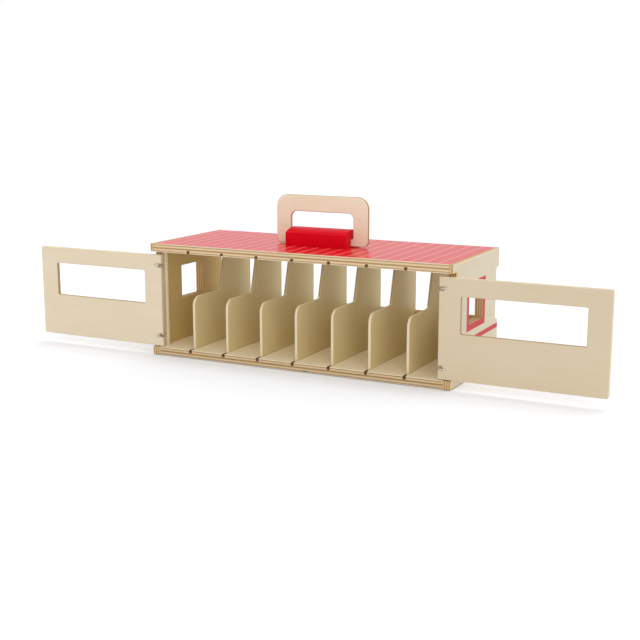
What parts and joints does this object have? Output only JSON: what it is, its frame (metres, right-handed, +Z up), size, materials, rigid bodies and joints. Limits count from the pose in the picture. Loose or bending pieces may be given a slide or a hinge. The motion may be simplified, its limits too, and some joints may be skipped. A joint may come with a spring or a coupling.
{
  "type": "toy horse stable",
  "caption": "Plywood toy stable carried by a folding handle: a row of divided stalls under a red plank-lined roof, with two windowed doors on wire hinges and a low back wall.",
  "frame": {"origin": "middle of the floor's underside, half way between the end panels and half way from front to back", "axes": "+X along the row of stalls to the viewer's right, -Y out of the open front, +Z up to the handle"},
  "size_m": [0.6618, 0.1447, 0.1788],
  "materials": {
    "birch_plywood": "bare, sanded",
    "printed_roof_plywood": "red printed top with pale lines, satin",
    "red_painted_wood": "red paint, satin",
    "hinge_wire_steel": "bright wire",
    "screw_steel": "zinc plated"
  },
  "bodies": {
    "stable": {"roof_panel": "printed_roof_plywood", "floor_panel": "birch_plywood", "left_end_panel": "birch_plywood", "right_end_panel": "birch_plywood", "back_panel": "birch_plywood", "divider_1": "birch_plywood", "divider_2": "birch_plywood", "divider_3": "birch_plywood", "divider_4": "birch_plywood", "divider_5": "birch_plywood", "divider_6": "birch_plywood", "divider_7": "birch_plywood", "left_hinge_post": "birch_plywood", "right_hinge_post": "birch_plywood", "left_upper_hinge_eye": "hinge_wire_steel", "left_lower_hinge_eye": "hinge_wire_steel", "right_upper_hinge_eye": "hinge_wire_steel", "right_lower_hinge_eye": "hinge_wire_steel", "handle_block": "red_painted_wood", "handle_screws": "screw_steel"},
    "left_door": {"left_door": "birch_plywood", "left_upper_hinge_wire": "hinge_wire_steel", "left_lower_hinge_wire": "hinge_wire_steel"},
    "right_door": {"right_door": "birch_plywood", "right_upper_hinge_wire": "hinge_wire_steel", "right_lower_hinge_wire": "hinge_wire_steel"},
    "handle": {"handle_loop": "birch_plywood"}
  },
  "joints": [
    {"name": "left_door_hinge", "type": "hinge", "parent": "stable", "child": "left_door", "pos_m": [-0.1656, -0.068, 0.0615], "axis": [0, 0, 1], "range_deg": [-20, 180]},
    {"name": "right_door_hinge", "type": "hinge", "parent": "stable", "child": "right_door", "pos_m": [0.1656, -0.068, 0.0615], "axis": [0, 0, 1], "range_deg": [-180, 20]},
    {"name": "handle_fold", "type": "hinge", "parent": "stable", "child": "handle", "pos_m": [0, 0, 0.1298], "axis": [1, 0, 0], "range_deg": [-93, 93]}
  ]
}
